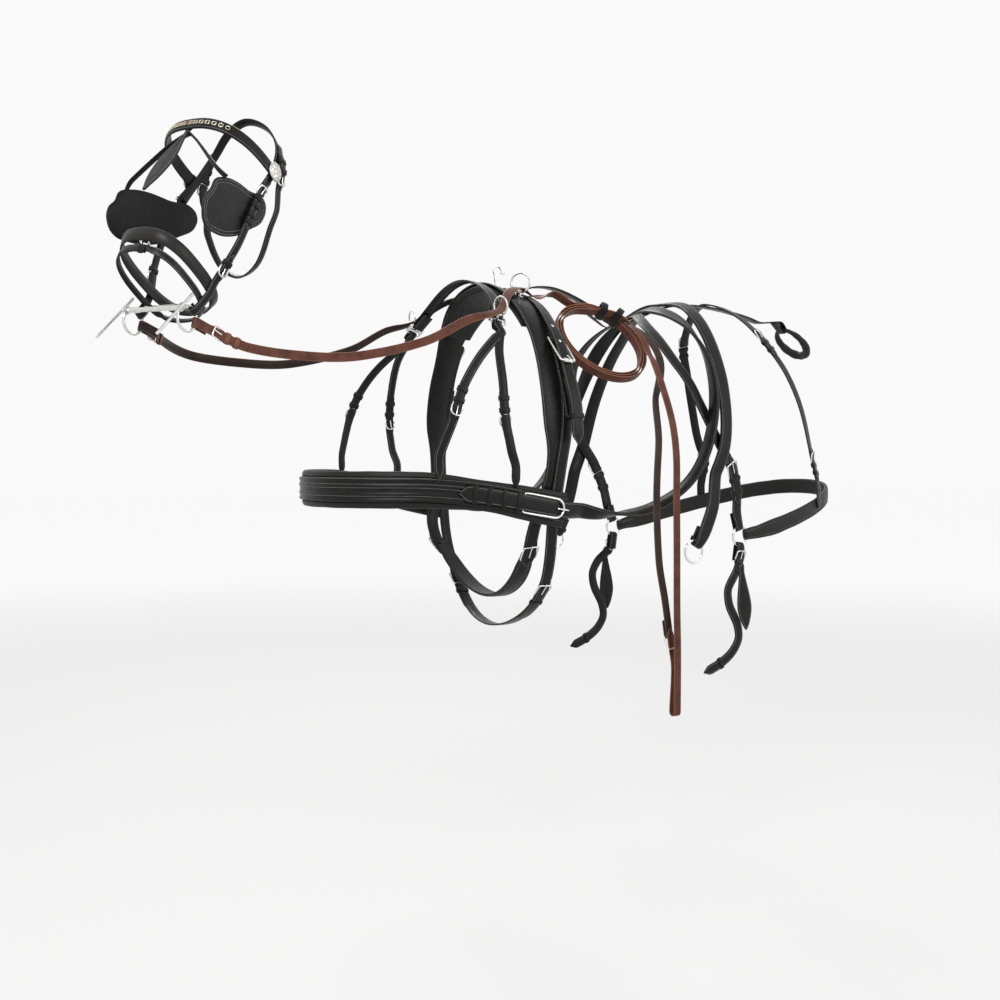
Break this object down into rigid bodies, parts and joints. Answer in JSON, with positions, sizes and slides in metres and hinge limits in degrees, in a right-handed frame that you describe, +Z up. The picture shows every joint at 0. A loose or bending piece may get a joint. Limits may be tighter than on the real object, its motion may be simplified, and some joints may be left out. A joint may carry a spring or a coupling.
{
  "type": "driving harness",
  "caption": "Single driving harness in its worn shape: blinkered bridle, reins, breast collar with traces, saddle with tugs and girths, crupper and breeching.",
  "frame": {"origin": "middle of the saddle panel's underside, on the horse's spine", "axes": "+Z up, the horse faces -Y, +X is the horse's left side"},
  "size_m": [0.6708, 2.1049, 1.3901],
  "materials": {
    "black_leather": "satin bridle leather",
    "padded_leather": "soft padded leather",
    "brown_leather": "oiled rein leather",
    "polished_steel": "polished",
    "rosette_silver": "soft silver",
    "chain_gilt": "pale gilt"
  },
  "bodies": {
    "harness": {"back_strap": "black_leather", "backband": "black_leather", "bearing_hook": "polished_steel", "belly_band": "black_leather", "bit_mouthpiece": "polished_steel", "blinker_left": "black_leather", "blinker_right": "black_leather", "blinker_stay": "black_leather", "breast_layer": "black_leather", "breast_pad": "padded_leather", "breeching_seat": "padded_leather", "browband": "black_leather", "browband_chain": "chain_gilt", "cheekpiece_left": "black_leather", "cheekpiece_right": "black_leather", "crown_piece": "black_leather", "crupper_dock": "padded_leather", "girth": "padded_leather", "hip_strap": "black_leather", "holdback_left": "black_leather", "holdback_right": "black_leather", "loin_strap": "black_leather", "neck_fork_left": "black_leather", "neck_fork_right": "black_leather", "neck_strap": "black_leather", "neck_terret_left": "polished_steel", "neck_terret_right": "polished_steel", "nose_strap": "black_leather", "noseband": "black_leather", "rein_buckle": "polished_steel", "rein_left": "brown_leather", "rein_right": "brown_leather", "rosette_left": "rosette_silver", "rosette_right": "rosette_silver", "saddle_panel": "padded_leather", "saddle_top": "black_leather", "shaft_tug_left": "black_leather", "shaft_tug_right": "black_leather", "terret_left": "polished_steel", "terret_right": "polished_steel", "throatlatch": "black_leather", "trace_buckle_left": "polished_steel", "trace_buckle_right": "polished_steel", "trace_left": "black_leather", "trace_right": "black_leather", "trace_tongue_left": "polished_steel", "trace_tongue_right": "polished_steel", "tug_buckle_left": "polished_steel", "tug_buckle_right": "polished_steel", "tug_tongue_left": "polished_steel", "tug_tongue_right": "polished_steel"},
    "bit_ring_left": {"bit_ring_left": "polished_steel"},
    "breeching_ring_left": {"breeching_ring_left": "polished_steel"},
    "trace_ring_left": {"trace_ring_left": "polished_steel"},
    "tug_roller_left": {"tug_roller_left": "polished_steel"},
    "bit_ring_right": {"bit_ring_right": "polished_steel"},
    "breeching_ring_right": {"breeching_ring_right": "polished_steel"},
    "trace_ring_right": {"trace_ring_right": "polished_steel"},
    "tug_roller_right": {"tug_roller_right": "polished_steel"},
    "face_drop": {"face_drop": "black_leather"}
  },
  "joints": [
    {"name": "bit_ring_left_spin", "type": "hinge", "parent": "harness", "child": "bit_ring_left", "pos_m": [0.17071, -0.86389, -0.10748], "axis": [0.9063, 0.4226, 0], "continuous": true},
    {"name": "breeching_ring_left_spin", "type": "hinge", "parent": "harness", "child": "breeching_ring_left", "pos_m": [0.26316, 0.58809, -0.60228], "axis": [0.9997, 0.0246, 0.0046], "continuous": true},
    {"name": "trace_ring_left_swing", "type": "hinge", "parent": "harness", "child": "trace_ring_left", "pos_m": [-0.2963, 0.41445, -0.6097], "axis": [0, -0.8776, 0.4794], "range_deg": [-35, 35]},
    {"name": "tug_roller_left_turn", "type": "hinge", "parent": "harness", "child": "tug_roller_left", "pos_m": [0.27353, 0.02966, -0.16916], "axis": [-0.0503, 0.9965, -0.0672], "continuous": true},
    {"name": "bit_ring_right_spin", "type": "hinge", "parent": "harness", "child": "bit_ring_right", "pos_m": [0.03114, -0.92897, -0.10748], "axis": [-0.9063, -0.4226, 0], "continuous": true},
    {"name": "breeching_ring_right_spin", "type": "hinge", "parent": "harness", "child": "breeching_ring_right", "pos_m": [-0.26316, 0.58809, -0.60228], "axis": [-0.9997, 0.0246, 0.0046], "continuous": true},
    {"name": "trace_ring_right_swing", "type": "hinge", "parent": "harness", "child": "trace_ring_right", "pos_m": [0.2963, 0.41445, -0.6097], "axis": [0, -0.8776, 0.4794], "range_deg": [-35, 35]},
    {"name": "tug_roller_right_turn", "type": "hinge", "parent": "harness", "child": "tug_roller_right", "pos_m": [-0.27353, 0.02966, -0.16916], "axis": [0.0503, 0.9965, -0.0672], "continuous": true},
    {"name": "face_drop_swing", "type": "hinge", "parent": "harness", "child": "face_drop", "pos_m": [0.06369, -0.81658, 0.29919], "axis": [-0.9063, -0.4226, 0], "range_deg": [0, 15]}
  ]
}
